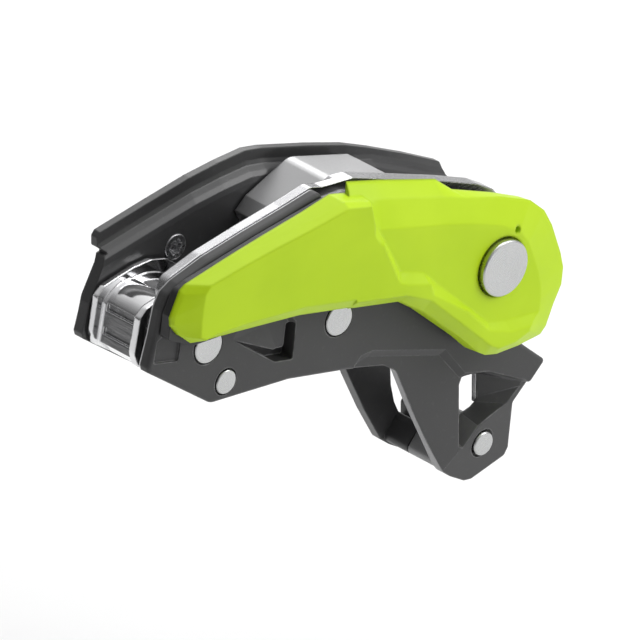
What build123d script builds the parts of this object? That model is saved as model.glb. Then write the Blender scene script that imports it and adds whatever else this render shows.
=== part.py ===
from build123d import *
import math
import os

# Belay device with a cam, worn on a harness.  Millimetres.
#
# Frame: X runs along the device and its nose points to -X, Z is up, Y crosses the rope channel.
# The channel's middle is y = 0.  The fixed side plate and the handle are on -Y, and the plate
# that swings open is on +Y.  The origin is the middle of the harness pin.
#
# Every outline below is given as (x, z) from the main axle, and each sub-part is moved to the
# harness pin's frame when it is written.
AXLE_X = -4.0
AXLE_Z = 46.0
PIN = (-AXLE_X, -AXLE_Z)

# Where each layer lies across the device.
CHANNEL = 5.45  # half the clear width between the steel faces that the rope rubs on
HEAD_FACE = -21.85  # the axle's head
RIM_FACE = -21.75  # the handle's outermost plane
HUB_FLOOR = -20.45  # the sunk panel that the axle's head stands in
COVER_BACK = -15.25
LEVER_BACK = -12.75
PLATE_OUT = -12.25
SKIN_IN = -9.25  # back of the fixed plate's thin rim
PLATE_IN = -7.0  # back of the fixed plate's thick part
STEP = 1.0  # how far the leg's face lies below the plate's face
LINER_IN = -5.75
FLANGE_FAR = 6.75
SWING_IN = 7.25
SWING_OUT = 9.75
LIP_IN = 9.45
LIP_OUT = 11.15
LIP_WALL = 3.15  # height of the lip's upright inner wall
LIP_FLARE = 2.1  # height of the slope below it
LOCK_OUT = 11.1

# Round parts.
AXLE_R = 4.0
AXLE_HEAD_R = 6.1
RUNNING = 0.06  # radial clearance of a running fit
PIN_R = 2.6
PIN_SLOT = 0.15  # radial clearance of the pin in the swing plate's slot
BUSH_R = 5.2
SLEEVE_R = 4.8
RIVET_PROUD = 0.3
UPPER_RIVET = (-72.0, 5.5)
LOWER_RIVET = (-67.3, -4.3)
STOP_PIN = (-36.7, -1.6)
MODE_SCREW = (-63.0, 16.8)
DOG_R = 1.2
DOG_REACH = 7.0  # distance of the release dog from the axle
DOG_ANGLE = 100.0  # where it sits with the handle folded, in degrees up from +X
SPRING_WELL_R = 5.55  # well round the handle's bearing sleeve, inside the release dog's circle
HANDLE_SWEEP = 130.0
CAM_SWEEP = 14.0
LOCK_X = 7.7  # the lock's tab crosses the mouth of the pin's slot here
LOCK_TAB = 1.6
LOCK_TRAVEL = 6.2
LOCK_KEEPER_Z = -33.3  # foot of the keeper that holds the slider in its guide
DETENT = (LOCK_X + 1.4, -33.0)
SIDE_GAP = 0.05

os.makedirs("parts", exist_ok=True)


def plane_at(y):
    """The XZ plane at y, facing -Y, with local x along X and local y along Z."""
    return Plane(origin=(0, y, 0), x_dir=(1, 0, 0), z_dir=(0, -1, 0))


def outline(points, radii=0.0):
    """A face with the given corners, rounded by one radius or by one for each corner."""
    if not isinstance(radii, (list, tuple)):
        radii = [radii] * len(points)
    edges = []
    count = len(points)
    ends = []
    for i, corner in enumerate(points):
        before = Vector(*points[i - 1]) - Vector(*corner)
        after = Vector(*points[(i + 1) % count]) - Vector(*corner)
        radius = radii[i]
        if radius <= 0:
            ends.append((Vector(*corner), Vector(*corner), None))
            continue
        half = math.radians(before.get_angle(after)) / 2
        reach = radius / math.tan(half)
        reach = min(reach, before.length * 0.45, after.length * 0.45)
        start = Vector(*corner) + before.normalized() * reach
        stop = Vector(*corner) + after.normalized() * reach
        ends.append((start, stop, before.normalized() * -1))
    for i, (start, stop, heading) in enumerate(ends):
        if heading is not None:
            edges.append(Edge.make_tangent_arc(start, heading, stop))
        following = ends[(i + 1) % count][0]
        if (following - stop).length > 1e-4:
            edges.append(Edge.make_line(stop, following))
    return make_face(edges)


def slab(face, y_near, y_far):
    """A flat outline made solid from y_near to y_far."""
    return extrude(plane_at(y_far) * face, amount=y_far - y_near)


def prism(points, y_near, y_far, radii=0.0):
    return slab(outline(points, radii), y_near, y_far)


def rod(centre, radius, y_near, y_far):
    middle = (centre[0], (y_near + y_far) / 2, centre[1])
    return Pos(*middle) * Rot(90, 0, 0) * Cylinder(radius, y_far - y_near)


def ring(centre, outer, inner, y_near, y_far):
    return rod(centre, outer, y_near, y_far) - rod(centre, inner, y_near - 1, y_far + 1)


def polar(radius, degrees):
    return (radius * math.cos(math.radians(degrees)), radius * math.sin(math.radians(degrees)))


def arc_slot(radius, half_width, start, stop, y_near, y_far):
    """The space that a round pin sweeps about the axle, from one angle to another."""
    steps = 6
    angles = [start + (stop - start) * i / steps for i in range(steps + 1)]
    middle = (start + stop) / 2
    outer = radius + half_width
    inner = radius - half_width
    edges = [
        Edge.make_three_point_arc(*[Vector(*polar(outer, a)) for a in (start, middle, stop)]),
        Edge.make_line(Vector(*polar(outer, stop)), Vector(*polar(inner, stop))),
        Edge.make_three_point_arc(*[Vector(*polar(inner, a)) for a in (stop, middle, start)]),
        Edge.make_line(Vector(*polar(inner, start)), Vector(*polar(outer, start))),
    ]
    slot = slab(make_face(edges), y_near, y_far)
    for angle in (angles[0], angles[-1]):
        slot += rod(polar(radius, angle), half_width, y_near, y_far)
    return slot


def faceted(sections):
    """A solid between flat outlines with the same number of corners: (y, points) pairs."""
    faces = [plane_at(y) * outline(points) for y, points in sections]
    return loft(faces, ruled=True)


def torx(centre, radius, y_near, y_far):
    """A six-lobed socket."""
    socket = rod(centre, radius * 0.72, y_near, y_far)
    for i in range(6):
        lobe = polar(radius * 0.72, 60 * i)
        socket += rod((centre[0] + lobe[0], centre[1] + lobe[1]), radius * 0.28, y_near, y_far)
    return socket


def coil(radius, wire, turns, y_start):
    """A close-wound torsion spring about the axle."""
    pitch = wire * 2.25
    path = Helix(pitch=pitch, height=pitch * turns, radius=radius)
    section = Plane(origin=path @ 0, z_dir=path % 0) * Circle(wire)
    spring = sweep(section, path=path)
    return Pos(0, y_start, 0) * Rot(-90, 0, 0) * spring


def write(shape, name):
    export_step(Pos(AXLE_X, 0, AXLE_Z) * shape, f"parts/{name}.step")


# Edges that the two side plates share: the nose, the lower edge and the leg.
NOSE = [(-71.0, -8.0), (-87.8, 5.2), (-88.1, 6.4), (-86.1, 12.6)]
BELLY = [(-23.5, -17.5), (-34.0, -14.3), (-50.0, -10.5)]
FOOT = [(12.0, -50.3), (11.1, -51.9), (1.6, -53.6), (-0.6, -53.1), (-5.0, -50.2), (-7.2, -48.3)]
LEG = [(-11.5, -40.2), (-15.7, -31.0), (-20.2, -20.0)]
UNDERSIDE = FOOT + LEG + BELLY + NOSE
UNDERSIDE_R = [0.8, 0.8, 1.5, 1.5, 1.0, 1.0, 4, 8, 4, 3, 12, 12, 3, 0.6, 0.6, 2]

# The bar that a belay loop hangs on, half on each plate.
BAR = [
    (-7.0, -48.3),
    (-0.6, -52.8),
    (1.6, -53.3),
    (10.8, -51.6),
    (11.6, -50.2),
    (11.6, -47.6),
    (8.5, -44.6),
    (4.6, -41.9),
    (0.0, -41.6),
    (-3.5, -44.6),
]
BAR_R = [1.6, 1.2, 1.2, 0.8, 0.8, 2.0, 3.0, 2.0, 3.0, 2.0]
BAR_NEAR_END = 0.2
BAR_FAR_END = 0.5


def fixed_side_plate():
    """Forged aluminium plate with a thick leg, a carabiner eye and a pointed tail."""
    crown = [(-84.5, 18.4), (-82.8, 21.2), (-80.0, 22.6), (-71.6, 24.7), (-60.8, 26.3)]
    crown += [(-49.9, 27.7), (-41.4, 29.0), (-40.2, 25.4), (-33.0, 25.0), (-5.4, 15.0)]
    crown += [(9.2, 7.2), (13.2, 1.0), (13.0, -8.0), (12.2, -18.0), (13.4, -26.0)]
    crown += [(20.2, -32.4), (12.2, -39.6)]
    crown_r = [3, 2, 3, 10, 12, 12, 1.4, 1.2, 3, 6, 6, 6, 6, 4, 4, 0.6, 1.0]
    plate = prism(crown + UNDERSIDE, PLATE_OUT, SKIN_IN, crown_r + UNDERSIDE_R)
    rim = [e for e in plate.edges() if e.center().Y < PLATE_OUT + 0.01 and e.center().Z > 22.0]
    plate = fillet([e for e in rim if e.center().X < -42.5 and e.length > 2], 0.9)
    back = [e for e in plate.edges() if e.center().Y > SKIN_IN - 0.01 and e.center().Z > 22.0]
    plate = fillet([e for e in back if e.center().X < -42.5 and e.length > 2], 0.6)

    # The thick middle stops short of the rim, so the rim stands off the steel liner.
    pad = [(-79.0, 18.5), (-76.0, 20.5), (-60.0, 24.2), (-43.5, 25.4), (-33.0, 23.4)]
    pad += [(-5.4, 13.4), (8.0, 6.0), (11.6, 0.0), (11.0, -16.0), (10.5, -40.0)]
    pad += [(12.0, -42.0), (12.0, -50.3), (11.1, -51.9), (1.6, -53.6), (-0.6, -53.1)]
    pad += [(-5.0, -50.2), (-6.2, -48.6), (-10.0, -40.2), (-14.2, -31.0), (-18.6, -20.0)]
    pad += [(-22.5, -16.6), (-34.0, -12.8), (-50.0, -9.0), (-70.0, -6.6), (-82.0, 4.6)]
    pad += [(-82.4, 8.5)]
    pad_r = [2] * 9 + [3, 1, 0.8, 0.8, 1.5, 1.5, 1, 1, 4, 8, 4, 3, 8, 8, 3, 2, 2]
    plate += prism(pad, SKIN_IN, PLATE_IN, pad_r)
    tail = [(10.0, -24.0), (13.4, -26.2), (20.0, -32.4), (12.2, -39.4), (12.0, -42.0), (10, -42)]
    plate += prism(tail, SKIN_IN, PLATE_IN - 1.2, [0, 3, 0.6, 1, 0, 0])

    # The bar's near half.
    plate += prism(BAR, PLATE_IN, BAR_NEAR_END, BAR_R)

    # The leg's face is set back behind a curved slope.
    step = [(-42.0, -19.0), (-32.5, -13.8), (-30.6, -12.2), (-27.4, -12.2), (-20.0, -14.9)]
    step += [(-7.5, -19.5), (-2.0, -27.0), (4.4, -29.0), (14.2, -34.6), (18.0, -37.6)]
    step += [(18.0, -58.0), (-42.0, -58.0)]
    low = [(-42.0, -21.0), (-32.9, -15.8), (-30.6, -14.0), (-27.8, -13.8), (-20.6, -16.4)]
    low += [(-8.5, -20.8), (-3.0, -28.0), (4.4, -29.6), (14.0, -35.2), (18.0, -38.2)]
    low += [(18.0, -58.0), (-42.0, -58.0)]
    plate -= faceted([(PLATE_OUT + STEP, low), (PLATE_OUT - 0.02, step)])
    plate -= prism(step, PLATE_OUT - 1, PLATE_OUT)

    # The foot's face leans back from the crease that runs up from the leg's lowest corner.
    crease = math.degrees(math.atan2(9.0, 15.2))
    lean = 7.0
    wedge = Box(60, 6, 40, align=(Align.CENTER, Align.MAX, Align.MAX))
    hinge_line = Pos(0.6, PLATE_OUT + STEP, -42.9) * Rot(0, -crease, 0)
    foot_zone = prism(
        [(-9.0, -50.0), (-7.2, -47.9), (6.0, -39.6), (14.6, -35.6), (25, -35), (25, -60), (-9, -60)],
        PLATE_OUT - 2,
        PLATE_IN,
    )
    plate -= (hinge_line * Rot(lean, 0, 0) * wedge) & foot_zone

    # Carabiner eye: wide at the face and narrower at the back.
    mouth = [(-2.9, -29.8), (-2.2, -28.3), (1.0, -28.2), (4.4, -29.6), (9.3, -32.4)]
    mouth += [(14.2, -35.3), (14.6, -36.4), (10.7, -39.2), (5.8, -40.2), (2.4, -41.2)]
    mouth += [(-1.8, -44.9), (-2.9, -44.0)]
    throat = [(-2.9, -30.0), (-2.2, -28.7), (0.8, -28.8), (3.8, -30.0), (5.2, -31.2)]
    throat += [(5.7, -32.2), (5.7, -37.6), (5.2, -38.4), (3.9, -39.1), (1.6, -39.6)]
    throat += [(-2.3, -42.6), (-2.9, -42.2)]
    plate -= faceted([(PLATE_IN + 0.01, throat), (PLATE_OUT + STEP - 0.1, mouth)])
    plate -= prism(mouth, PLATE_OUT - 0.5, PLATE_OUT + STEP - 0.05)

    # Pockets milled in the face: the deep one ramps down from its left corner.
    pocket = [(-65.5, 4.4), (-54.0, -4.8), (-49.2, -6.0), (-48.2, 2.2), (-52.0, 8.0), (-62.0, 9.0)]
    floor = [(-55.0, 3.6), (-52.6, -3.0), (-49.9, -4.4), (-49.2, 2.0), (-52.4, 7.0), (-54.5, 7.4)]
    plate -= faceted([(PLATE_OUT + 1.1, floor), (PLATE_OUT - 0.01, pocket)])
    trench = [(-64.6, 3.9), (-54.0, -4.8), (-49.2, -6.0), (-48.2, 2.2), (-50.0, 2.0)]
    trench += [(-50.8, -3.0), (-53.8, -2.4)]
    plate -= prism(trench, PLATE_OUT - 1, PLATE_OUT + 3.4, [0, 0.5, 0.5, 0.5, 0.3, 0.5, 0.5])
    shallow = [(-85.6, 11.6), (-86.6, 7.0), (-80.0, 5.2), (-79.3, 9.0), (-80.0, 14.0)]
    plate -= prism(shallow, PLATE_OUT - 1, PLATE_OUT + 0.5, 0.5)

    # Holes for the axle, rivets and pins, and the slot that the release dog sweeps.
    plate -= rod((0, 0), AXLE_R, PLATE_OUT - 1, PLATE_IN + 1)
    for centre, radius in RIVET_SHANKS:
        plate -= rod(centre, radius, PLATE_OUT - 1, PLATE_IN + 1)
    for centre, radius in RIVET_HEADS:
        plate -= rod(centre, radius + 0.35, PLATE_OUT - 1, PLATE_OUT + 0.8)
    plate -= rod(PIN, PIN_R, PLATE_OUT - 1, BAR_FAR_END + 1)
    plate -= rod(PIN, PIN_R + 0.5, PLATE_OUT - 1, PLATE_OUT + STEP + 1.5)
    plate -= dog_slot(PLATE_OUT - 1, PLATE_IN + 1)
    return plate


def dog_slot(y_near, y_far):
    start = DOG_ANGLE + 2
    stop = DOG_ANGLE - HANDLE_SWEEP - 2
    return arc_slot(DOG_REACH, DOG_R + 0.2, start, stop, y_near, y_far)


RIVET_SHANKS = [(UPPER_RIVET, 2.2), (LOWER_RIVET, 1.6), (STOP_PIN, 2.5)]
RIVET_HEADS = [(UPPER_RIVET, 3.6), (LOWER_RIVET, 2.6), (STOP_PIN, 3.5)]


def inner_wear_plate():
    """Hardened steel liner on the fixed side of the rope channel, thicker along its top edge."""
    points = [(-56.3, 9.0), (-55.0, 21.0), (-42.0, 24.2), (-37.5, 25.6), (-33.4, 27.3)]
    points += [(-30.0, 26.9), (-5.4, 17.0), (3.9, 12.9), (8.2, 10.1), (9.9, 7.6)]
    points += [(13.6, 2.0), (12.6, -10.0)]
    points += [(8.0, -22.0), (8.6, -30.0), (8.0, -38.0), (0.0, -40.9), (-5.0, -43.4)]
    points += [(-11.6, -31.0), (-17.0, -19.0), (-34.0, -11.6), (-50.0, -8.6), (-56.3, -7.4)]
    radii = [2, 2, 2, 2, 2, 2, 4, 4, 2, 2, 4, 5, 4, 3, 2, 1.5, 1.5, 4, 4, 6, 6, 2]
    plate = prism(points, PLATE_IN, LINER_IN, radii)
    edge = [(-80.8, 16.4), (-81.6, 19.6), (-80.0, 22.5), (-71.6, 24.7), (-60.8, 26.3)]
    edge += [(-49.9, 27.7), (-41.8, 29.0), (-38.6, 28.0), (-33.4, 27.3), (-30.0, 26.9)]
    edge += [(-5.4, 17.0), (3.9, 12.9), (8.2, 10.1), (9.9, 7.6), (13.6, 2.0), (11.9, 0.2)]
    edge += [(8.1, 6.4), (-5.3, 13.8), (-33.0, 23.8), (-43.5, 25.8), (-60.1, 24.6)]
    edge += [(-76.2, 20.9), (-79.6, 18.8)]
    edge_r = [0.5, 2, 2, 8, 8, 8, 2, 2, 2, 2, 4, 4, 2, 2, 2, 0, 1, 3, 2, 3, 8, 2, 0.5]
    plate += prism(edge, SKIN_IN + 0.1, PLATE_IN - 0.05, edge_r)
    plate += prism(edge[6:20], PLATE_IN - 0.05, PLATE_IN, 0)
    eye = [(-2.9, -30.0), (-2.2, -28.7), (0.8, -28.8), (3.8, -30.0), (5.2, -31.2), (5.7, -32.2)]
    eye += [(5.7, -43.0), (-2.9, -47.0)]
    plate -= prism(eye, PLATE_IN - 1, LINER_IN + 1, 0.4)
    plate -= prism(BAR, PLATE_IN - 1, LINER_IN + 1, 0)
    plate -= rod((0, 0), AXLE_R, PLATE_IN - 1, LINER_IN + 1)
    plate -= rod(STOP_PIN, 2.5, PLATE_IN - 1, LINER_IN + 1)
    plate -= dog_slot(PLATE_IN - 1, LINER_IN + 1)
    return plate


def friction_block():
    """Polished steel nose that the braking strand bends over, with a flange on each side."""
    front_foot = (-85.3, 4.6)
    front_top = (-83.7, 12.6)
    crest = (-76.0, 15.4)
    back_top = (-68.5, 13.8)
    back_foot = (-60.0, -1.0)
    edges = [
        Edge.make_line(Vector(*front_foot), Vector(*front_top)),
        Edge.make_three_point_arc(Vector(*front_top), Vector(-81.0, 14.9), Vector(*crest)),
        Edge.make_three_point_arc(Vector(*crest), Vector(-72.2, 15.2), Vector(*back_top)),
        Edge.make_three_point_arc(Vector(*back_top), Vector(-62.6, 7.6), Vector(*back_foot)),
        Edge.make_line(Vector(*back_foot), Vector(-60.0, -8.2)),
        Edge.make_line(Vector(-60.0, -8.2), Vector(-70.4, -7.0)),
        Edge.make_line(Vector(-70.4, -7.0), Vector(-82.0, 1.0)),
        Edge.make_line(Vector(-82.0, 1.0), Vector(*front_foot)),
    ]
    block = slab(make_face(edges), -CHANNEL, CHANNEL)
    flange = [(-85.5, 14.6), (-87.1, 7.0), (-86.3, 4.2), (-70.5, -7.6), (-58.2, -8.8)]
    flange += [(-57.5, 3.0), (-59.5, 9.0), (-63.5, 13.6), (-67.0, 16.4), (-71.0, 17.6)]
    flange += [(-75.4, 17.6), (-80.0, 16.9), (-83.6, 16.2)]
    flange_r = [1.2, 2, 1, 2, 1, 3, 3, 2, 2, 2, 3, 3, 1.5]
    block += prism(flange, PLATE_IN, -CHANNEL, flange_r)
    block += prism(flange, CHANNEL, FLANGE_FAR, flange_r)

    # The rope has hollowed bearing surfaces: a shallow trough over the crest.
    trough_r = 26.0
    trough = Pos(-72.0, 0, 15.4 + trough_r - 1.1) * Rot(0, 90, 0) * Cylinder(trough_r, 40)
    block -= trough & Box(60, 2 * CHANNEL - 0.4, 60)

    # Two slots across the front wall.
    for height in (12.0, 7.1):
        front = front_foot[0] + (height - front_foot[1]) * 0.2
        slot = Box(1.8, 2 * CHANNEL - 1.6, 1.7)
        block -= Pos(front, 0, height) * Rot(0, 11, 0) * slot
    for centre, radius in RIVET_SHANKS[:2]:
        block -= rod(centre, radius, PLATE_IN - 1, FLANGE_FAR + 1)
    return block


def rivet(centre, head, shank, end):
    """A rivet with a slightly domed head on the fixed plate's face."""
    body = rod(centre, shank, PLATE_OUT + 0.8, end)
    cap = rod(centre, head, PLATE_OUT - RIVET_PROUD, PLATE_OUT + 0.8)
    edges = cap.edges().filter_by(GeomType.CIRCLE).sort_by(Axis.Y)
    return body + fillet(edges[0], 0.28)


def main_axle():
    """The axle that the handle, the cam and the swing plate all turn on."""
    head = rod((0, 0), AXLE_HEAD_R, HEAD_FACE, HEAD_FACE + 2.2)
    head = fillet(head.edges().filter_by(GeomType.CIRCLE).sort_by(Axis.Y)[0], 0.4)
    shaft = rod((0, 0), AXLE_R, HEAD_FACE + 2.2, SWING_OUT + 0.15)
    stub = rod((0, 0), 3.0, SWING_OUT + 0.15, LIP_OUT - 0.1)
    return head + shaft + stub


def axle_nut():
    """Slotted round nut that keeps the swing plate on the axle."""
    nut = ring((0, 0), 6.2, 3.0, SWING_OUT + 0.15, LIP_OUT - 0.1)
    edges = nut.edges().filter_by(GeomType.CIRCLE).sort_by(Axis.Y)
    nut = chamfer([e for e in edges if e.radius > 6 and e.center().Y > LIP_OUT - 0.2], 0.35)
    for angle in (0, 90):
        nut -= Rot(0, angle, 0) * Pos(0, LIP_OUT - 0.1, 0) * Box(14, 1.0, 1.2)
    return nut


def harness_pin():
    """Riveted pin along the bar; its free end sits in the swing plate's slot."""
    head = rod(PIN, PIN_R, PLATE_OUT + STEP - 0.1, PLATE_OUT + STEP + 1.5)
    head = fillet(head.edges().filter_by(GeomType.CIRCLE).sort_by(Axis.Y)[0], 0.5)
    shank = rod(PIN, PIN_R, PLATE_OUT + STEP + 1.5, SWING_OUT - 0.2)
    return head + shank


# The handle's corners, from the tip over the top, at its back, at its shoulder and at its face.
# The grip and the hub are two bodies that are moulded together.
GRIP_BACK = [
    (-83.5, 13.9),
    (-85.2, 16.4),
    (-85.3, 18.2),
    (-82.6, 23.4),
    (-81.2, 24.2),
    (-68.5, 26.3),
    (-60.0, 27.5),
    (-49.9, 28.8),
    (-42.2, 30.1),
    (-35.0, 28.0),
    (-35.0, 5.0),
    (-38.0, 5.6),
    (-53.1, 9.0),
    (-68.5, 10.6),
    (-77.6, 11.6),
    (-80.6, 12.2),
]
GRIP_SHOULDER = [
    (-83.2, 13.7),
    (-84.7, 16.6),
    (-84.4, 18.6),
    (-82.2, 22.6),
    (-80.2, 24.2),
    (-68.5, 26.0),
    (-60.0, 27.1),
    (-49.9, 28.4),
    (-41.6, 29.6),
    (-35.0, 27.5),
    (-35.0, 4.2),
    (-38.0, 4.8),
    (-53.1, 8.0),
    (-68.5, 9.7),
    (-77.6, 10.6),
    (-80.6, 11.2),
]
GRIP_FACE = [
    (-79.9, 12.9),
    (-79.6, 16.6),
    (-79.0, 20.4),
    (-78.6, 22.4),
    (-77.2, 23.9),
    (-68.0, 25.4),
    (-60.0, 26.5),
    (-50.0, 27.6),
    (-41.8, 28.8),
    (-35.0, 27.0),
    (-35.0, 6.6),
    (-38.0, 7.2),
    (-53.0, 10.6),
    (-68.0, 12.2),
    (-75.9, 12.4),
    (-78.4, 12.0),
]
HUB_BACK = [
    (-37.6, 31.3),
    (-29.3, 28.6),
    (-13.4, 22.9),
    (-8.9, 18.9),
    (1.7, 14.3),
    (9.3, 10.5),
    (13.6, 7.2),
    (16.0, 2.4),
    (18.1, -4.8),
    (18.6, -8.2),
    (18.0, -11.8),
    (15.8, -15.6),
    (13.6, -19.6),
    (12.0, -20.9),
    (6.0, -21.2),
    (0.0, -20.9),
    (-3.2, -20.0),
    (-5.2, -18.6),
    (-9.3, -14.2),
    (-20.0, -4.0),
    (-26.0, 0.6),
    (-40.0, 4.2),
]
HUB_SHOULDER = [
    (-38.6, 28.0),
    (-30.5, 25.7),
    (-13.9, 20.1),
    (-7.0, 17.3),
    (1.7, 14.4),
    (9.9, 10.6),
    (13.6, 7.0),
    (15.6, 3.0),
    (17.8, -4.2),
    (18.4, -7.6),
    (17.8, -11.2),
    (15.5, -14.8),
    (13.3, -19.0),
    (11.7, -20.3),
    (5.7, -20.6),
    (-0.3, -20.3),
    (-3.4, -19.4),
    (-5.3, -18.1),
    (-9.4, -13.7),
    (-20.0, -3.4),
    (-26.1, 1.1),
    (-40.0, 4.6),
]
HUB_FACE = [
    (-41.0, 28.4),
    (-34.0, 17.0),
    (-13.6, 11.2),
    (-6.6, 8.8),
    (-1.6, 6.2),
    (2.0, 3.4),
    (3.4, -0.2),
    (4.0, -3.0),
    (4.4, -5.6),
    (4.8, -8.6),
    (5.2, -11.2),
    (6.0, -13.6),
    (7.0, -15.4),
    (6.6, -16.8),
    (2.6, -17.8),
    (-1.8, -17.6),
    (-3.9, -16.2),
    (-7.3, -12.7),
    (-10.9, -9.1),
    (-20.2, 0.3),
    (-27.0, 4.0),
    (-40.0, 7.6),
]
# The sunk panel round the axle's head: its floor and its mouth, open at the top and the right.
PANEL_FLOOR = [
    (-37.0, 36.0),
    (-34.0, 22.2),
    (-31.8, 17.8),
    (-27.4, 8.9),
    (-24.9, 8.2),
    (-21.2, 6.5),
    (-17.4, 2.5),
    (-8.3, -6.6),
    (-3.8, -11.1),
    (0.8, -12.5),
    (8.3, -13.7),
    (26.0, -16.0),
    (26.0, 36.0),
]
PANEL_MOUTH = [
    (-38.4, 36.0),
    (-35.2, 21.8),
    (-33.0, 17.2),
    (-28.8, 7.2),
    (-26.8, 6.2),
    (-20.2, 3.9),
    (-19.6, 1.2),
    (-10.4, -5.9),
    (-4.4, -12.6),
    (1.7, -15.2),
    (8.6, -15.9),
    (26.0, -18.0),
    (26.0, 36.0),
]
LEVER = [
    (-85.4, 13.0),
    (-84.6, 18.0),
    (-82.0, 22.6),
    (-79.0, 23.4),
    (-60.0, 26.2),
    (-43.0, 28.2),
    (-36.0, 27.4),
    (-12.0, 19.6),
    (8.0, 9.8),
    (14.5, 3.0),
    (16.4, -4.4),
    (16.4, -9.6),
    (10.8, -18.6),
    (-1.6, -19.0),
    (-8.0, -13.6),
    (-25.2, 0.4),
    (-38.6, 4.4),
    (-59.0, 7.8),
    (-78.4, 9.4),
]
LEVER_POCKET = [
    (-76.5, 15.0),
    (-76.0, 20.6),
    (-60.0, 23.6),
    (-40.0, 25.0),
    (-12.0, 15.2),
    (6.0, 8.6),
    (12.2, 1.0),
    (13.0, -8.0),
    (8.6, -15.4),
    (-1.0, -15.8),
    (-22.8, 5.0),
    (-38.4, 8.4),
    (-58.0, 11.6),
    (-74.0, 13.2),
]
SCREWS = [(-71.0, 17.0), (-46.0, 16.6), (-24.0, 11.0)]


def sloped(sections):
    """As faceted, but each section is (y, slope along x, slope along z, points)."""
    faces = []
    for y, along_x, along_z, points in sections:
        corners = [Vector(x, y + along_x * x + along_z * z, z) for x, z in points]
        faces.append(Face(Wire.make_polygon(corners, close=True)))
    return loft(faces, ruled=True)


def handle_cover():
    """Moulded shell of the handle: a faceted grip and a hub with a sunk panel."""
    grip = sloped(
        [
            (COVER_BACK, 0, 0, GRIP_BACK),
            (-22.3, -0.073, 0, GRIP_SHOULDER),
            (-23.25, -0.055, 0, GRIP_FACE),
        ]
    )
    hub = sloped(
        [
            (COVER_BACK, 0, 0, HUB_BACK),
            (-18.7, 0, 0.035, HUB_SHOULDER),
            (RIM_FACE, 0, 0, HUB_FACE),
        ]
    )
    reach = [(-60.0, -40.0), (-60.0, 50.0), (30.0, 50.0), (30.0, -40.0)]
    hub &= sloped([(COVER_BACK + 1, 0, 0, reach), (-23.25, -0.055, 0, reach)])
    cover = grip + hub
    floor = (HUB_FLOOR, 0, 0.012, PANEL_FLOOR)
    cover -= sloped([floor, (RIM_FACE - 0.02, 0, 0, PANEL_MOUTH)])
    cover -= prism(PANEL_MOUTH, RIM_FACE - 2, RIM_FACE)
    cover -= prism(LEVER_POCKET, COVER_BACK - 3.0, COVER_BACK + 1, 2.0)
    cover -= rod((0, 0), AXLE_HEAD_R + 0.35, RIM_FACE - 1, HEAD_FACE + 2.5)
    cover -= rod((0, 0), SLEEVE_R + 0.4, HEAD_FACE, COVER_BACK)
    cover -= rod((4.6, 6.6), 0.75, RIM_FACE - 1, HUB_FLOOR + 1.4)
    for centre in SCREWS:
        cover += rod(centre, 2.4, COVER_BACK - 3.4, COVER_BACK - 1.2)
        cover -= rod(centre, 1.0, COVER_BACK - 3.2, COVER_BACK)
    return cover


def handle_lever():
    """Metal lever under the cover: it carries the load from the grip to the release dog."""
    lever = prism(LEVER, COVER_BACK, LEVER_BACK, [1, 1, 2] + [1.5] * 16)
    rib = offset(outline(LEVER_POCKET), amount=-0.7)
    lever += slab(rib, COVER_BACK - 1.0, COVER_BACK)
    lever += rod((0, 0), 7.4, COVER_BACK - 2.7, COVER_BACK)
    lever -= rod((0, 0), SLEEVE_R, RIM_FACE, LEVER_BACK + 1)
    lever -= rod((0, 0), SPRING_WELL_R, COVER_BACK - 1.2, LEVER_BACK + 1)
    for centre in SCREWS:
        lever -= rod(centre, 1.2, COVER_BACK - 4, LEVER_BACK + 1)
        lever -= rod(centre, 2.2, LEVER_BACK - 1.1, LEVER_BACK + 1)
        lever -= rod(centre, 2.5, COVER_BACK - 4, COVER_BACK - 0.95)
    lever -= rod(polar(DOG_REACH, DOG_ANGLE), DOG_R, COVER_BACK + 0.6, LEVER_BACK + 1)
    return lever


def handle_bush():
    """Flanged bearing sleeve pressed into the lever."""
    return ring((0, 0), SLEEVE_R, AXLE_R + RUNNING, COVER_BACK - 2.7, LEVER_BACK)


def handle_screws():
    screws = None
    for centre in SCREWS:
        screw = rod(centre, 1.0, COVER_BACK - 3.0, LEVER_BACK - 1.0)
        screw += rod(centre, 2.0, LEVER_BACK - 1.0, LEVER_BACK - 0.05)
        screw -= torx(centre, 1.1, LEVER_BACK - 0.7, LEVER_BACK + 1)
        screws = screw if screws is None else screws + screw
    return screws


def release_dog():
    """Pin on the lever that reaches through the fixed plate to the cam."""
    return rod(polar(DOG_REACH, DOG_ANGLE), DOG_R, COVER_BACK + 0.6, LINER_IN + 1.6)


def handle_washer():
    return ring((0, 0), 5.2, AXLE_R, LEVER_BACK + SIDE_GAP, PLATE_OUT)


def handle_spring():
    """Torsion spring that folds the handle back, wound round its sleeve in the lever's hub."""
    return coil(5.18, 0.25, 3.5, COVER_BACK - 0.4)


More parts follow.
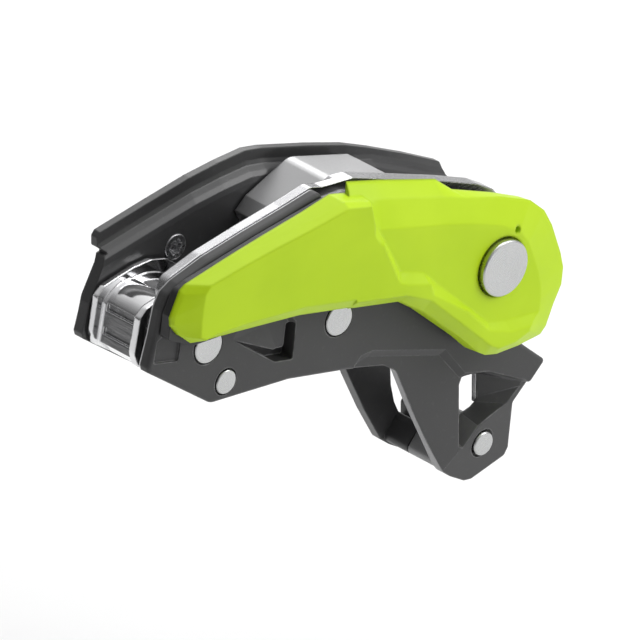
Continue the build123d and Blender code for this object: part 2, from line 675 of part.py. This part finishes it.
def cam():
    """Steel cam arm: the rope runs under it, and its nose squeezes the rope on the block."""
    hub = 9.3
    tip = (-47.3, 19.4)
    edges = [
        Edge.make_three_point_arc(Vector(-5.4, 11.6), Vector(*polar(hub + 0.2, 84)), Vector(*polar(hub, 30))),
        Edge.make_three_point_arc(Vector(*polar(hub, 30)), Vector(*polar(hub, -60)), Vector(-5.6, -7.4)),
        Edge.make_three_point_arc(Vector(-5.6, -7.4), Vector(-20.0, 4.9), Vector(-38.0, 12.0)),
        Edge.make_three_point_arc(Vector(-38.0, 12.0), Vector(-44.4, 14.8), Vector(-46.9, 18.2)),
        Edge.make_line(Vector(-46.9, 18.2), Vector(*tip)),
        Edge.make_line(Vector(*tip), Vector(-44.4, 21.8)),
        Edge.make_line(Vector(-44.4, 21.8), Vector(-34.0, 25.8)),
        Edge.make_three_point_arc(Vector(-34.0, 25.8), Vector(-32.8, 26.0), Vector(-31.4, 25.8)),
        Edge.make_line(Vector(-31.4, 25.8), Vector(-16.6, 20.9)),
        Edge.make_three_point_arc(Vector(-16.6, 20.9), Vector(-12.6, 16.3), Vector(-5.4, 11.6)),
    ]
    arm = slab(make_face(edges), -CHANNEL + 0.1, FLANGE_FAR + 0.1)
    arm -= rod((-14.9, 20.4), 1.9, FLANGE_FAR - 2.2, FLANGE_FAR + 1)
    arm -= rod((0, 0), BUSH_R, -CHANNEL - 1, FLANGE_FAR + 1)
    sweep_end = DOG_ANGLE - HANDLE_SWEEP - CAM_SWEEP - 3
    arm -= arc_slot(DOG_REACH, DOG_R + 0.3, DOG_ANGLE + 3, sweep_end, -6, -4.05)
    arm -= ring((0, 0), 8.3, BUSH_R, FLANGE_FAR - 2.6, FLANGE_FAR + 1)

    # Hollowed from the fixed side to save weight.
    pocket = [(-40.0, 17.6), (-33.0, 21.8), (-18.0, 17.0), (-12.0, 10.5), (-22.0, 8.6), (-34.0, 14.0)]
    arm -= prism(pocket, -CHANNEL - 1, 2.5, 1.5)
    return arm


def cam_bush():
    return ring((0, 0), BUSH_R, AXLE_R + RUNNING, -CHANNEL + 0.1, FLANGE_FAR + 0.1)


def cam_washers():
    near = ring((0, 0), 5.0, AXLE_R, LINER_IN, -CHANNEL + 0.1 - SIDE_GAP)
    far = ring((0, 0), 5.0, AXLE_R, FLANGE_FAR + 0.1 + SIDE_GAP, SWING_IN - SIDE_GAP)
    return near + far


def cam_spring():
    """Torsion spring that lifts the cam off the rope, in a pocket of the cam's far face."""
    return coil(6.75, 0.45, 1.6, FLANGE_FAR - 1.9)


def swing_stations():
    """Where the swing plate's lip bends: (x, height of the lip's top edge)."""
    left = [(-90.0, 24.7), (-79.8, 26.2), (-68.8, 27.8), (-57.1, 29.4), (-49.3, 29.9)]
    right = [(-42.0, 30.0), (-37.6, 29.0), (-24.8, 24.8), (-14.9, 21.2), (-8.1, 18.0)]
    return left + right + [(1.7, 13.0), (15.0, 5.6)]


def swing_side_plate():
    """Pivoting aluminium plate whose upper edge flares outwards into a lip."""
    sections = []
    for x, top in swing_stations():
        wall = LIP_WALL
        flare = LIP_FLARE
        if x > -10:
            wall = 2.2
            flare = 1.4
        low = top - wall - flare
        profile = [
            (SWING_IN, -24.0),
            (SWING_IN, low - 1.2),
            (SWING_IN + 0.25, low),
            (SWING_IN + 0.95, low + flare * 0.45),
            (LIP_IN - 0.35, top - wall - 0.2),
            (LIP_IN, top - wall + 0.8),
            (LIP_IN, top),
            (LIP_OUT, top),
            (LIP_OUT, top - wall + 0.2),
            (SWING_OUT + 0.4, low + 0.2),
            (SWING_OUT, low - 1.4),
            (SWING_OUT, -24.0),
        ]
        points = [Vector(x, y, z) for y, z in profile]
        sections.append(Face(Wire.make_polygon(points, close=True)))
    plate = loft(sections, ruled=True)
    leg = [(-24, -10.0), (13.0, -10.0), (12.0, -20.0), (11.4, -30.0), (12.0, -40.0)]
    plate += prism(leg + FOOT + LEG + [(-24, -19.0)], SWING_IN, SWING_OUT)

    # A rim stands out along the nose's edge too.
    nose = [(-86.6, 5.4), (-84.7, 12.6), (-80.3, 20.2), (-77.6, 19.4), (-82.2, 11.8), (-83.8, 3.6)]
    plate += prism(nose, SWING_OUT, LIP_OUT, [0.5, 2, 0.5, 1, 3, 1])

    crown = [(-81.5, 21.2), (-80.2, 21.4), (-82.0, 22.9), (-82.0, 25.1), (-79.8, 27.6), (-60.0, 31.5)]
    crown += [(-42.0, 32.5), (-10.0, 21.0), (10.6, 8.4), (12.0, 5.2), (12.9, 1.6), (12.9, -8.0)]
    crown += [(12.0, -20.0), (11.4, -30.0), (12.0, -40.0)]
    crown_r = [0.5, 0.5, 0.6, 0.8, 0, 0, 0, 0, 3, 3, 5, 5, 6, 6, 3]
    plate &= prism(crown + UNDERSIDE, SWING_IN - 1, LIP_OUT + 1, crown_r + UNDERSIDE_R)

    # The bar's far half.
    plate += prism(BAR, BAR_FAR_END, SWING_IN, BAR_R)

    # Eye: it runs down to the pin on the leg's side.
    eye = [(-4.7, -29.0), (0.6, -29.4), (3.6, -31.0), (4.9, -33.5), (4.9, -39.0)]
    eye += [(2.4, -41.2), (0.6, -43.4), (0.6, -47.0), (-1.0, -45.7), (-2.2, -44.0)]
    eye += [(-3.5, -41.0), (-4.4, -36.8)]
    plate -= prism(eye, BAR_FAR_END - 1, SWING_OUT + 1, [1, 3, 2, 1, 1, 1, 1, 0.3, 1, 1.5, 3, 3])

    # Slot that lets the pin out to +X as the plate swings.
    pin_angle = math.degrees(math.atan2(PIN[1], PIN[0]))
    reach = math.hypot(*PIN)
    plate -= arc_slot(reach, PIN_R + PIN_SLOT, pin_angle, pin_angle + 18, BAR_FAR_END - 1, SWING_OUT + 1)

    # Guide for the lock's tab, which crosses the slot's mouth, and its detents.
    guide_top = LOCK_KEEPER_Z + 1.6
    guide_foot = -48.9
    guide = Box(LOCK_TAB + 0.4, SWING_OUT - SWING_IN + 2, guide_top - guide_foot)
    plate -= Pos(LOCK_X, (SWING_IN + SWING_OUT) / 2, (guide_top + guide_foot) / 2) * guide
    for height in (DETENT[1], DETENT[1] - LOCK_TRAVEL):
        plate -= Pos(DETENT[0], SWING_OUT + 0.3, height) * Sphere(0.56)
    track = Cylinder(0.52, LOCK_TRAVEL)
    plate -= Pos(DETENT[0], SWING_OUT + 0.33, DETENT[1] - LOCK_TRAVEL / 2) * track

    # Shallow relief and a deeper pocket in the outer face.
    relief = [(-80.0, 6.0), (-76.0, 17.0), (-60.0, 20.4), (-44.0, 21.2), (-14.0, 9.6)]
    relief += [(-15.0, -4.0), (-24.0, -9.0), (-49.0, -4.0), (-69.0, -2.4)]
    plate -= prism(relief, SWING_OUT - 0.6, SWING_OUT + 0.5, 2.5)
    pocket = [(-56.0, 2.0), (-50.0, 12.0), (-36.0, 12.0), (-32.0, 4.0), (-42.0, -1.0)]
    plate -= prism(pocket, SWING_OUT - 1.3, SWING_OUT, 1.5)

    plate -= rod((0, 0), BUSH_R, SWING_IN - 1, SWING_OUT + 1)
    plate -= rod(MODE_SCREW, 2.9, SWING_IN - 1, SWING_IN + 1.2)
    plate -= rod(MODE_SCREW, 1.6, SWING_IN - 1, SWING_OUT + 1)
    return plate


def swing_bush():
    return ring((0, 0), BUSH_R, AXLE_R + RUNNING, SWING_IN, SWING_OUT)


def mode_screw():
    """Six-lobed screw set in the swing plate's inner face."""
    head = rod(MODE_SCREW, 2.8, SWING_IN - 0.25, SWING_IN + 1.2)
    head = fillet(head.edges().filter_by(GeomType.CIRCLE).sort_by(Axis.Y)[0], 0.3)
    screw = head + rod(MODE_SCREW, 1.6, SWING_IN + 1.2, SWING_OUT - 0.3)
    return screw - torx(MODE_SCREW, 1.7, SWING_IN - 1, SWING_IN + 0.7)


def lock_slider():
    """Thumb slider on the swing plate: pushed down, its tab closes the pin's slot."""
    foot = -40.9
    tab = Box(LOCK_TAB, SWING_OUT - SWING_IN - 0.2, 9.0, align=(Align.CENTER, Align.MIN, Align.MIN))
    slider = Pos(LOCK_X, SWING_IN + 0.1, foot) * tab
    neck = Box(LOCK_TAB, 1.0, 7.0, align=(Align.CENTER, Align.MIN, Align.MIN))
    slider += Pos(LOCK_X, SWING_OUT - 0.3, foot + 2.0) * neck
    keeper = Box(3.4, 0.8, 1.4, align=(Align.CENTER, Align.MAX, Align.MIN))
    slider += Pos(LOCK_X, SWING_IN - 0.1, LOCK_KEEPER_Z) * keeper
    neck = Box(LOCK_TAB, 0.6, 1.4, align=(Align.CENTER, Align.CENTER, Align.MIN))
    slider += Pos(LOCK_X, SWING_IN, LOCK_KEEPER_Z) * neck
    left = LOCK_X - 2.6
    right = LOCK_X + 2.2
    thumb = prism([(left, -40.0), (right, -40.0), (right, -31.8), (left, -31.8)], SWING_OUT + 0.1, LOCK_OUT, 0.8)
    for i in range(5):
        thumb -= Pos(LOCK_X, LOCK_OUT, -38.8 + 1.2 * i) * Box(6, 0.6, 0.5)
    slider += thumb
    slider -= rod(DETENT, 0.5, SWING_OUT - 1, SWING_OUT + 0.95)
    return slider


def lock_detent_ball():
    """Ball that clicks the slider into its two positions."""
    return Pos(DETENT[0], SWING_OUT + 0.32, DETENT[1]) * Sphere(0.44)


write(fixed_side_plate(), "fixed_side_plate")
write(inner_wear_plate(), "inner_wear_plate")
write(friction_block(), "friction_block")
write(rivet(UPPER_RIVET, 3.6, 2.2, FLANGE_FAR - 0.2), "block_rivet_upper")
write(rivet(LOWER_RIVET, 2.6, 1.6, FLANGE_FAR - 0.2), "block_rivet_lower")
write(rivet(STOP_PIN, 3.5, 2.5, FLANGE_FAR - 0.75), "cam_stop_pin")
write(main_axle(), "main_axle")
write(axle_nut(), "axle_nut")
write(harness_pin(), "harness_pin")
write(handle_washer(), "handle_washer")
write(cam_washers(), "cam_washers")
write(handle_spring(), "handle_spring")
write(cam_spring(), "cam_spring")
write(handle_cover(), "handle_cover")
write(handle_lever(), "handle_lever")
write(handle_bush(), "handle_bush")
write(handle_screws(), "handle_screws")
write(release_dog(), "release_dog")
write(cam(), "cam")
write(cam_bush(), "cam_bush")
write(swing_side_plate(), "swing_side_plate")
write(swing_bush(), "swing_bush")
write(mode_screw(), "mode_screw")
write(lock_slider(), "lock_slider")
write(lock_detent_ball(), "lock_detent_ball")
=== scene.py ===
import math

import bpy
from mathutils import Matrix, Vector


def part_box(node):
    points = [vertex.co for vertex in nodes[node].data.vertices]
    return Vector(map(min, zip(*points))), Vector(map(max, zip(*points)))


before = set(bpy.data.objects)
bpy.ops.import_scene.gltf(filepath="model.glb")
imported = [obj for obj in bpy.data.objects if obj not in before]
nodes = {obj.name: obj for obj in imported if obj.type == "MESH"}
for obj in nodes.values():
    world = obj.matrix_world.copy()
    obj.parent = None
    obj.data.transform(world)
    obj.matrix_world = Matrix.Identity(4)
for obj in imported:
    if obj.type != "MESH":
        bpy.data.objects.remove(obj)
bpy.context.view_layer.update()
scene = bpy.context.scene

# The main axle's middle in the row frame, and the object's middle, in metres.
AXLE = Vector((-0.004, 0.0, 0.046))
MIDDLE = Vector((-0.0345, 0.0, 0.0369))
FLOOR_Z = -0.062


# ---------------------------------------------------------------- node helpers
class Nodes:
    """Short names for building one material's node tree."""

    def __init__(self, name):
        self.material = bpy.data.materials.new(name)
        self.material.use_nodes = True
        self.tree = self.material.node_tree
        self.tree.nodes.clear()
        self.output = self.add("ShaderNodeOutputMaterial")
        self.coords = self.add("ShaderNodeTexCoord").outputs["Object"]

    def add(self, kind, **settings):
        node = self.tree.nodes.new(kind)
        for key, value in settings.items():
            setattr(node, key, value)
        return node

    def link(self, source, target):
        self.tree.links.new(source, target)

    def feed(self, node, socket, value):
        if isinstance(value, bpy.types.NodeSocket):
            self.link(value, node.inputs[socket])
        else:
            node.inputs[socket].default_value = value

    def scaled(self, x, y, z, turn=(0, 0, 0)):
        node = self.add("ShaderNodeMapping")
        node.inputs["Scale"].default_value = (x, y, z)
        node.inputs["Rotation"].default_value = turn
        self.link(self.coords, node.inputs["Vector"])
        return node.outputs["Vector"]

    def noise(self, scale, detail=3.0, roughness=0.5, vector=None):
        node = self.add("ShaderNodeTexNoise")
        node.inputs["Scale"].default_value = scale
        node.inputs["Detail"].default_value = detail
        node.inputs["Roughness"].default_value = roughness
        self.link(vector or self.coords, node.inputs["Vector"])
        return node.outputs["Fac"]

    def ramp(self, value, low, high, out_low=0.0, out_high=1.0):
        node = self.add("ShaderNodeMapRange")
        self.link(value, node.inputs["Value"])
        node.inputs["From Min"].default_value = low
        node.inputs["From Max"].default_value = high
        node.inputs["To Min"].default_value = out_low
        node.inputs["To Max"].default_value = out_high
        return node.outputs["Result"]

    def math(self, operation, a, b):
        node = self.add("ShaderNodeMath", operation=operation)
        self.feed(node, 0, a)
        self.feed(node, 1, b)
        return node.outputs[0]

    def mix(self, factor, a, b):
        node = self.add("ShaderNodeMix", data_type="RGBA")
        self.feed(node, 0, factor)
        self.feed(node, 6, a)
        self.feed(node, 7, b)
        return node.outputs[2]

    def soft_edges(self, radius):
        """The normal with every edge eased by a small radius."""
        node = self.add("ShaderNodeBevel", samples=6)
        node.inputs["Radius"].default_value = radius
        return node.outputs["Normal"]

    def edge_wear(self, radius):
        """1 on edges and 0 on flats: how far the eased normal turns from the face's own."""
        dot = self.add("ShaderNodeVectorMath", operation="DOT_PRODUCT")
        self.link(self.soft_edges(radius), dot.inputs[0])
        self.link(self.add("ShaderNodeNewGeometry").outputs["Normal"], dot.inputs[1])
        return self.ramp(dot.outputs["Value"], 0.985, 0.90)

    def bump(self, height, strength, distance, normal=None):
        node = self.add("ShaderNodeBump")
        node.inputs["Strength"].default_value = strength
        node.inputs["Distance"].default_value = distance
        self.link(height, node.inputs["Height"])
        if normal is not None:
            self.link(normal, node.inputs["Normal"])
        return node.outputs["Normal"]

    def shader(self, **inputs):
        node = self.add("ShaderNodeBsdfPrincipled")
        for name, value in inputs.items():
            self.feed(node, name.replace("_", " "), value)
        self.link(node.outputs["BSDF"], self.output.inputs["Surface"])
        return self.material


def rgb(red, green, blue):
    return (red, green, blue, 1.0)


# ---------------------------------------------------------------- materials
def lime_plastic():
    """Satin moulded plastic with a very fine spark-eroded grain."""
    n = Nodes("lime_plastic")
    clouds = n.noise(60, 3)
    colour = n.mix(n.ramp(clouds, 0.35, 0.65), rgb(0.435, 0.635, 0.007), rgb(0.470, 0.675, 0.011))
    grain = n.noise(3500, 2, 0.6)
    waves = n.noise(120, 2)
    rough = n.ramp(clouds, 0.3, 0.7, 0.36, 0.44)
    normal = n.bump(grain, 0.10, 0.00006, n.soft_edges(0.0009))
    normal = n.bump(waves, 0.05, 0.0006, normal)
    return n.shader(Base_Color=colour, Roughness=rough, Normal=normal, Specular_IOR_Level=0.22)


def anodised(name, dark, light, rough_low, rough_high, grain_scale=2600, grain=0.12, metallic=0.0):
    """Blasted and anodised aluminium, with fine paler speckles."""
    n = Nodes(name)
    clouds = n.noise(45, 4)
    fine = n.noise(900, 2)
    colour = n.mix(n.ramp(clouds, 0.35, 0.65), rgb(*dark), rgb(*light))
    speckle = n.ramp(fine, 0.62, 0.75, 0.0, 0.25)
    colour = n.mix(speckle, colour, rgb(*[c * 1.8 for c in light]))
    rough = n.ramp(clouds, 0.3, 0.7, rough_low, rough_high)
    normal = n.bump(n.noise(grain_scale, 2, 0.6), grain, 0.00008, n.soft_edges(0.0004))
    return n.shader(Base_Color=colour, Metallic=metallic, Roughness=rough, Normal=normal)


def rimmed_plate():
    """Dark blasted plate with rubbed paler edges; paler, part-metallic left-facing side walls on the foot,
    partly rubbed metal and partly painted light; and a bright bare-metal line along its upper rim, laid only on
    edges facing up, a painted highlight.
    """
    n = Nodes("dark_anodised")
    clouds = n.noise(38, 3)
    fine = n.noise(900, 2)
    colour = n.mix(n.ramp(clouds, 0.35, 0.65), rgb(0.044, 0.044, 0.045), rgb(0.050, 0.050, 0.051))
    speckle = n.ramp(fine, 0.6, 0.75, 0.0, 0.2)
    colour = n.mix(speckle, colour, rgb(0.09, 0.09, 0.09))
    wear = n.math("MULTIPLY", n.edge_wear(0.0005), n.ramp(n.noise(260, 3), 0.4, 0.6, 0.2, 0.8))
    colour = n.mix(wear, colour, rgb(0.28, 0.28, 0.285))

    place = n.add("ShaderNodeSeparateXYZ")
    n.link(n.coords, place.inputs[0])
    facing = n.add("ShaderNodeSeparateXYZ")
    n.link(n.add("ShaderNodeTexCoord").outputs["Normal"], facing.inputs[0])
    flat = n.math("ABSOLUTE", facing.outputs["Y"], 0.0)
    wall = n.ramp(flat, 0.5, 0.2)
    # Painted light: side walls facing left, low on the foot, are made paler and a little metallic. This is
    # partly rubbed metal and partly painted light from the left and below.
    leftward = n.ramp(n.math("MULTIPLY", facing.outputs["X"], -1.0), 0.3, 0.6)
    foot = n.ramp(place.outputs["Z"], AXLE.z - 0.0125, AXLE.z - 0.0145)
    rubbed_and_lit_left_walls = n.math("MULTIPLY", n.math("MULTIPLY", wall, leftward), foot)
    colour = n.mix(rubbed_and_lit_left_walls, colour, rgb(0.27, 0.27, 0.275))

    # Painted highlight: the bright bare-metal line is laid only on inner rim edges that face up and a little
    # left, where light from above falls. It is partly real bare metal and partly painted highlight.
    leaning = n.math("SUBTRACT", facing.outputs["Z"], n.math("MULTIPLY", facing.outputs["X"], 0.6))
    edge = n.math("MULTIPLY", n.ramp(flat, 0.97, 0.9), n.ramp(leaning, 0.1, 0.3))
    high = n.ramp(place.outputs["Z"], AXLE.z + 0.0100, AXLE.z + 0.0106)
    tail = n.ramp(place.outputs["X"], AXLE.x - 0.0845, AXLE.x - 0.0851)
    inner = n.ramp(place.outputs["Y"], -0.0100, -0.0096)
    rim = n.math("MULTIPLY", n.math("MULTIPLY", edge, n.math("MAXIMUM", high, tail)), inner)
    scratches = n.noise(1.0, 4, 0.6, n.scaled(300, 4200, 4200))
    bright = n.mix(n.ramp(scratches, 0.3, 0.7), rgb(0.62, 0.62, 0.63), rgb(0.78, 0.78, 0.79))
    colour = n.mix(rim, colour, bright)
    rough = n.ramp(clouds, 0.3, 0.7, 0.42, 0.45)
    rough = n.math("SUBTRACT", rough, n.math("MULTIPLY", rim, 0.22))
    metallic = n.math("MAXIMUM", n.math("MULTIPLY", rim, 0.95), n.math("MULTIPLY", rubbed_and_lit_left_walls, 0.6))
    normal = n.bump(n.noise(2600, 2, 0.6), 0.12, 0.00008, n.soft_edges(0.0005))
    return n.shader(
        Base_Color=colour, Metallic=metallic, Roughness=rough, Normal=normal, Specular_IOR_Level=0.3
    )


def chromed_block():
    """Polished steel; the front wall between its flanges is unpolished and painted near black, partly a rougher
    satin finish and partly a painted dark reflection.
    """
    n = Nodes("polished_steel")
    place = n.add("ShaderNodeSeparateXYZ")
    n.link(n.coords, place.inputs[0])
    facing = n.add("ShaderNodeSeparateXYZ")
    n.link(n.add("ShaderNodeTexCoord").outputs["Normal"], facing.inputs[0])
    # Painted dark reflection: the left-facing wall between the flanges is given a near-black metal colour, with
    # more roughness for its unpolished finish.
    middle = n.ramp(n.math("ABSOLUTE", place.outputs["Y"], 0.0), 0.0051, 0.0047)
    front = n.ramp(n.math("MULTIPLY", facing.outputs["X"], -1.0), 0.5, 0.85)
    under = n.ramp(n.math("MULTIPLY", facing.outputs["Z"], -1.0), 0.5, 0.2)
    ground_and_dark_reflection = n.math("MULTIPLY", n.math("MULTIPLY", middle, front), under)
    clouds = n.noise(190, 3)
    streaks = n.noise(1.0, 4, 0.65, n.scaled(500, 260, 3200))
    shine = n.mix(n.ramp(clouds, 0.3, 0.7), rgb(0.80, 0.80, 0.81), rgb(0.88, 0.88, 0.89))
    dark_reflection_colour = n.mix(n.ramp(streaks, 0.3, 0.7), rgb(0.10, 0.10, 0.10), rgb(0.24, 0.24, 0.245))
    colour = n.mix(ground_and_dark_reflection, shine, dark_reflection_colour)
    rough = n.math("ADD", n.ramp(clouds, 0.3, 0.7, 0.06, 0.12), n.math("MULTIPLY", ground_and_dark_reflection, 0.16))
    normal = n.bump(streaks, 0.05, 0.00005, n.soft_edges(0.0006))
    return n.shader(Base_Color=colour, Metallic=1.0, Roughness=rough, Normal=normal)


def steel(name, tint, rough_low, rough_high, brushed=None, metallic=1.0, grain=0.06):
    """Bare steel; brushed gives the scale of its brush lines along X, Y and Z."""
    n = Nodes(name)
    clouds = n.noise(70, 3)
    colour = n.mix(n.ramp(clouds, 0.3, 0.7), rgb(*[c * 0.93 for c in tint]), rgb(*tint))
    if brushed:
        lines = n.noise(1.0, 4, 0.6, n.scaled(*brushed))
    else:
        lines = n.noise(2200, 2)
    rough = n.math("ADD", n.ramp(clouds, 0.3, 0.7, rough_low, rough_high), n.ramp(lines, 0.3, 0.7, -0.04, 0.04))
    normal = n.bump(lines, grain, 0.00005, n.soft_edges(0.0004))
    return n.shader(Base_Color=colour, Metallic=metallic, Roughness=rough, Normal=normal)


def turned(name, tint, rough, centre, scale=9000):
    """Lathe-turned steel: rings about a centre on the Y axis."""
    n = Nodes(name)
    shift = n.add("ShaderNodeMapping")
    shift.inputs["Location"].default_value = (-centre[0], 0, -centre[1])
    n.link(n.coords, shift.inputs["Vector"])
    wave = n.add("ShaderNodeTexWave", wave_type="RINGS", rings_direction="Y", wave_profile="SIN")
    wave.inputs["Scale"].default_value = scale / 20
    wave.inputs["Distortion"].default_value = 1.5
    wave.inputs["Detail"].default_value = 2.0
    n.link(shift.outputs["Vector"], wave.inputs["Vector"])
    rings = wave.outputs["Fac"]
    clouds = n.noise(120, 3)
    colour = n.mix(n.ramp(clouds, 0.3, 0.7), rgb(*[c * 0.94 for c in tint]), rgb(*tint))
    roughness = n.ramp(rings, 0.0, 1.0, rough - 0.03, rough + 0.04)
    normal = n.bump(rings, 0.05, 0.00003, n.soft_edges(0.0004))
    return n.shader(Base_Color=colour, Metallic=1.0, Roughness=roughness, Normal=normal)


def black_plastic():
    n = Nodes("black_plastic")
    clouds = n.noise(90, 3)
    colour = n.mix(n.ramp(clouds, 0.35, 0.65), rgb(0.012, 0.012, 0.013), rgb(0.02, 0.02, 0.021))
    rough = n.ramp(clouds, 0.3, 0.7, 0.42, 0.52)
    normal = n.bump(n.noise(3000, 2), 0.12, 0.00006)
    return n.shader(Base_Color=colour, Roughness=rough, Normal=normal)


lime = lime_plastic()
dark_plate = rimmed_plate()
black_plate = anodised("black_anodised", (0.036, 0.036, 0.037), (0.044, 0.044, 0.045), 0.3, 0.38)
# Painted shade: the lever's black is pushed darker than the other anodised parts to stand in for the deep shade
# under the handle cover.
black_lever = anodised("black_lever", (0.010, 0.010, 0.011), (0.016, 0.016, 0.017), 0.4, 0.5)
polished = chromed_block()
liner = steel("liner_steel", (0.48, 0.48, 0.49), 0.22, 0.3, brushed=(250, 3500, 3500))
cam_steel = steel("cam_steel", (0.43, 0.43, 0.435), 0.34, 0.42, grain=0.12)
ROUND = ["block_rivet_upper", "block_rivet_lower", "cam_stop_pin", "harness_pin", "main_axle", "axle_nut"]
bronze = steel("bronze", (0.62, 0.43, 0.22), 0.3, 0.4, grain=0.15)
spring_wire = steel("spring_wire", (0.5, 0.5, 0.5), 0.2, 0.28)
screw_steel = steel("screw_steel", (0.42, 0.42, 0.43), 0.26, 0.36)
plain_black = black_plastic()

LOOKS = {
    "handle_cover": lime,
    "fixed_side_plate": dark_plate,
    "swing_side_plate": black_plate,
    "handle_lever": black_lever,
    "friction_block": polished,
    "inner_wear_plate": liner,
    "cam": cam_steel,
    "cam_bush": bronze,
    "swing_bush": bronze,
    "handle_bush": bronze,
    "handle_spring": spring_wire,
    "cam_spring": spring_wire,
    "handle_screws": screw_steel,
    "mode_screw": screw_steel,
    "release_dog": spring_wire,
    "handle_washer": plain_black,
    "cam_washers": plain_black,
    "lock_slider": plain_black,
    "lock_detent_ball": spring_wire,
}
for name in ROUND:
    low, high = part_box(name)
    centre = ((low[0] + high[0]) / 2, (low[2] + high[2]) / 2)
    LOOKS[name] = turned("turned_" + name, (0.50, 0.505, 0.505), 0.26, centre)


def round_edges(node, width, segments=3, angle=25):
    bevel = node.modifiers.new("edges", "BEVEL")
    bevel.width = width
    bevel.segments = segments
    bevel.limit_method = "ANGLE"
    bevel.angle_limit = math.radians(angle)
    bevel.harden_normals = False


for name, node in nodes.items():
    node.data.materials.clear()
    node.data.materials.append(LOOKS[name])
    node.data.set_sharp_from_angle(angle=math.radians(38 if name == "swing_side_plate" else 22))


# ---------------------------------------------------------------- stage, lights, camera
def area_light(name, position, target, size, power, colour=(1, 1, 1), size_y=None):
    data = bpy.data.lights.new(name, "AREA")
    data.energy = power
    data.color = colour
    data.size = size
    if size_y:
        data.shape = "RECTANGLE"
        data.size_y = size_y
    light = bpy.data.objects.new(name, data)
    light.visible_camera = False
    scene.collection.objects.link(light)
    light.location = position
    light.rotation_euler = (Vector(target) - Vector(position)).to_track_quat("-Z", "Y").to_euler()
    return light


bpy.ops.mesh.primitive_plane_add(size=12, location=(MIDDLE.x, MIDDLE.y, FLOOR_Z))
floor = bpy.context.object
floor.name = "floor"
floor_nodes = Nodes("floor_white")
floor_paper = floor_nodes.noise(14, 4)
floor_colour = floor_nodes.mix(floor_paper, rgb(0.88, 0.88, 0.88), rgb(0.90, 0.90, 0.90))
floor_white = floor_nodes.shader(Base_Color=floor_colour, Roughness=0.9)
floor.data.materials.append(floor_white)

world = bpy.data.worlds.new("studio")
scene.world = world
world.use_nodes = True
# A studio that is bright overhead and dimmer round the sides, so polished metal has something to show.
sky = world.node_tree.nodes["Background"]
direction = world.node_tree.nodes.new("ShaderNodeTexCoord")
height = world.node_tree.nodes.new("ShaderNodeSeparateXYZ")
gradient = world.node_tree.nodes.new("ShaderNodeMapRange")
gradient.inputs["From Min"].default_value = 0.0
gradient.inputs["From Max"].default_value = 0.5
gradient.inputs["To Min"].default_value = 0.25
gradient.inputs["To Max"].default_value = 1.1
world.node_tree.links.new(direction.outputs["Generated"], height.inputs[0])
world.node_tree.links.new(height.outputs["Z"], gradient.inputs["Value"])
side = world.node_tree.nodes.new("ShaderNodeMapRange")
side.inputs["From Min"].default_value = -0.9
side.inputs["From Max"].default_value = 0.4
side.inputs["To Min"].default_value = 0.1
side.inputs["To Max"].default_value = 1.0
world.node_tree.links.new(height.outputs["X"], side.inputs["Value"])
product = world.node_tree.nodes.new("ShaderNodeMath")
product.operation = "MULTIPLY"
world.node_tree.links.new(gradient.outputs["Result"], product.inputs[0])
world.node_tree.links.new(side.outputs["Result"], product.inputs[1])
world.node_tree.links.new(product.outputs[0], sky.inputs["Strength"])
sky.inputs["Color"].default_value = (1, 1, 1, 1)

TO_CAMERA = Vector((-0.593, -0.643, 0.485)).normalized()
area_light("top", MIDDLE + Vector((0.15, 0.0, 0.6)), MIDDLE, 0.4, 1.2, size_y=0.4)
area_light("key", MIDDLE + Vector((0.44, -0.42, 0.30)), MIDDLE, 0.3, 1.7, size_y=0.3)
area_light("back", MIDDLE + Vector((0.42, 0.45, 0.32)), MIDDLE, 0.35, 1.0, size_y=0.35)

distance = 5.0
camera_data = bpy.data.cameras.new("camera")
camera_data.sensor_width = 36
camera_data.lens = 36 * distance / 0.128
camera_data.clip_end = 40
camera = bpy.data.objects.new("camera", camera_data)
scene.collection.objects.link(camera)
camera.location = MIDDLE + TO_CAMERA * distance
camera.rotation_euler = (-TO_CAMERA).to_track_quat("-Z", "Y").to_euler()
scene.camera = camera
scene.view_settings.view_transform = "Standard"
